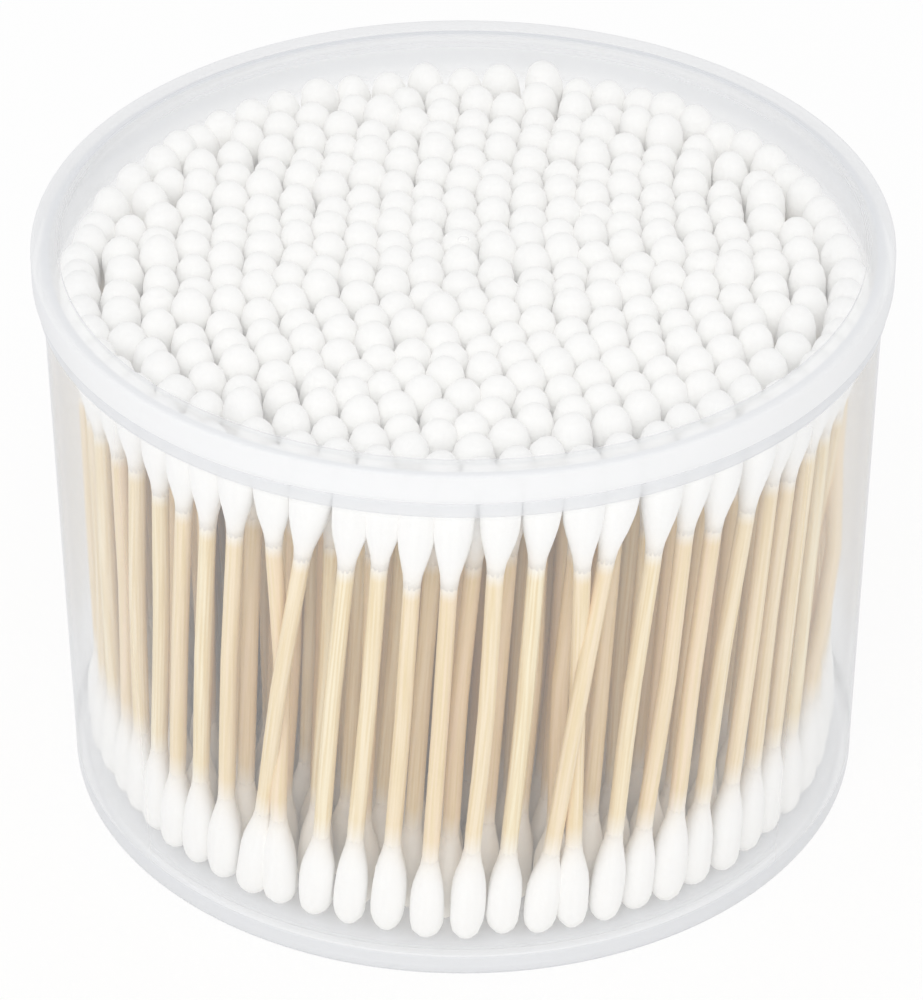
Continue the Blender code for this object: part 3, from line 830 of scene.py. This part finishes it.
for label, outline in (("lid", lid_outline), ("tub", tub_outline)):
    shell = turned_shell(f"{label}_shell", outline)
    shell.data.materials.append(plastic)
    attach(shell, label)
    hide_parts(label)
    shell.visible_shadow = False
    shell.visible_diffuse = False
    print(label, "shell:", len(shell.data.polygons), "faces")

# %% [markdown]
# ## Floor, light and camera
#
# A white sweep and a white sky keep the picture high-key, as a catalogue studio does. One large
# soft lamp, above and in front, lights the sticks behind the wall and leaves their far sides
# darker. Most of what the camera sees of the floor is its own white, and the rest is what the
# light leaves on it, so the shadow stays, but faint. White cotton passes light on from head to
# head, so the diffuse bounces are raised from four to six, or the gaps would turn black.

# %% White floor
FLOOR_SIZE = 4.0
FLOOR_WHITE_SHARE = 0.85

floor_mesh = bpy.data.meshes.new("floor")
half = FLOOR_SIZE / 2
floor_mesh.from_pydata([(-half, -half, 0.0), (half, -half, 0.0), (half, half, 0.0), (-half, half, 0.0)], [],
                       [(0, 1, 2, 3)])
floor = bpy.data.objects.new("floor", floor_mesh)
bpy.context.scene.collection.objects.link(floor)

floor_paint, tree, shader = new_material("white_paper_sweep")
shader.inputs["Base Color"].default_value = linear(0xFFFFFF)
shader.inputs["Roughness"].default_value = 1.0
shader.inputs["Specular IOR Level"].default_value = 0.0
path = add(tree, "ShaderNodeLightPath")
seen = add(tree, "ShaderNodeMath", {0: path.outputs["Is Camera Ray"], 1: path.outputs["Is Glossy Ray"]},
           operation="MAXIMUM")
share = add(tree, "ShaderNodeMath", {0: seen.outputs["Value"]}, {1: FLOOR_WHITE_SHARE},
            operation="MULTIPLY")
white = add(tree, "ShaderNodeEmission", inputs={"Color": (1.0, 1.0, 1.0, 1.0), "Strength": 1.0})
mix = add(tree, "ShaderNodeMixShader", {0: share.outputs["Value"], 1: shader.outputs["BSDF"],
                                        2: white.outputs["Emission"]})
tree.links.new(mix.outputs["Shader"], tree.nodes["Material Output"].inputs["Surface"])
floor_mesh.materials.append(floor_paint)

# %% White sky
SKY_LIGHT = 0.83
DIFFUSE_BOUNCES = 6

world = bpy.data.worlds.new("white_sky")
bpy.context.scene.world = world
world.use_nodes = True
tree = world.node_tree
path = add(tree, "ShaderNodeLightPath")
seen = add(tree, "ShaderNodeMath", {0: path.outputs["Is Camera Ray"], 1: path.outputs["Is Glossy Ray"]},
           operation="MAXIMUM")
strength = add(tree, "ShaderNodeMapRange", {"Value": seen.outputs["Value"]},
               {"To Min": SKY_LIGHT, "To Max": 1.0})
sky = tree.nodes["Background"]
sky.inputs["Color"].default_value = (1.0, 1.0, 1.0, 1.0)
tree.links.new(strength.outputs["Result"], sky.inputs["Strength"])
bpy.context.scene.cycles.diffuse_bounces = DIFFUSE_BOUNCES

# %% One soft lamp, above and in front
LAMP_SIZE = 1.0
LAMP_WATTS = 3.4
LAMP_PLACE = Vector((-0.15, -0.85, 0.85))

lamp = bpy.data.lights.new("soft_lamp", "AREA")
lamp.shape = "SQUARE"
lamp.size = LAMP_SIZE
lamp.energy = LAMP_WATTS
lamp_object = bpy.data.objects.new("soft_lamp", lamp)
lamp_object.location = LAMP_PLACE
lamp_object.rotation_euler = (-LAMP_PLACE).to_track_quat("-Z", "Y").to_euler()
bpy.context.scene.collection.objects.link(lamp_object)

# %% [markdown]
# ## Camera
#
# The photo looks down on the tub by about 35 degrees from a long way off. Its rims and its base
# gave the distance, the lens and where the tub's middle falls in the picture. The camera is
# aimed a touch beside that middle, so that no lens shift is needed.

# %% Camera at the photo's viewpoint
PICTURE = (923, 1000)
FOCAL_PX = 4896.5
DISTANCE_SHARE = 11.7376
ELEVATION = math.radians(34.63)
MIDDLE_PX = (463.2, 486.3)
SENSOR_MM = 36.0
CLIP_START = 0.01

camera_data = bpy.data.cameras.new("camera")
camera_data.sensor_width = SENSOR_MM
camera_data.lens = SENSOR_MM * FOCAL_PX / PICTURE[1]
camera_data.clip_start = CLIP_START
camera = bpy.data.objects.new("camera", camera_data)
bpy.context.scene.collection.objects.link(camera)
bpy.context.scene.camera = camera

distance = DISTANCE_SHARE * LID_R
middle = Vector((0.0, 0.0, RIM_TOP / 2))
back = Vector((0.0, -math.cos(ELEVATION), math.sin(ELEVATION)))
right = Vector((1.0, 0.0, 0.0))
up = right.cross(-back)
metres_per_px = distance / FOCAL_PX
aside, above = PICTURE[0] / 2 - MIDDLE_PX[0], MIDDLE_PX[1] - PICTURE[1] / 2
aim = middle + metres_per_px * (aside * right + above * up)
camera.location = middle + distance * back
camera.rotation_euler = (aim - camera.location).to_track_quat("-Z", "Y").to_euler()
bpy.context.scene.view_settings.view_transform = "Standard"
print("camera", round(distance, 3), "m away, lens", round(camera_data.lens, 1), "mm")
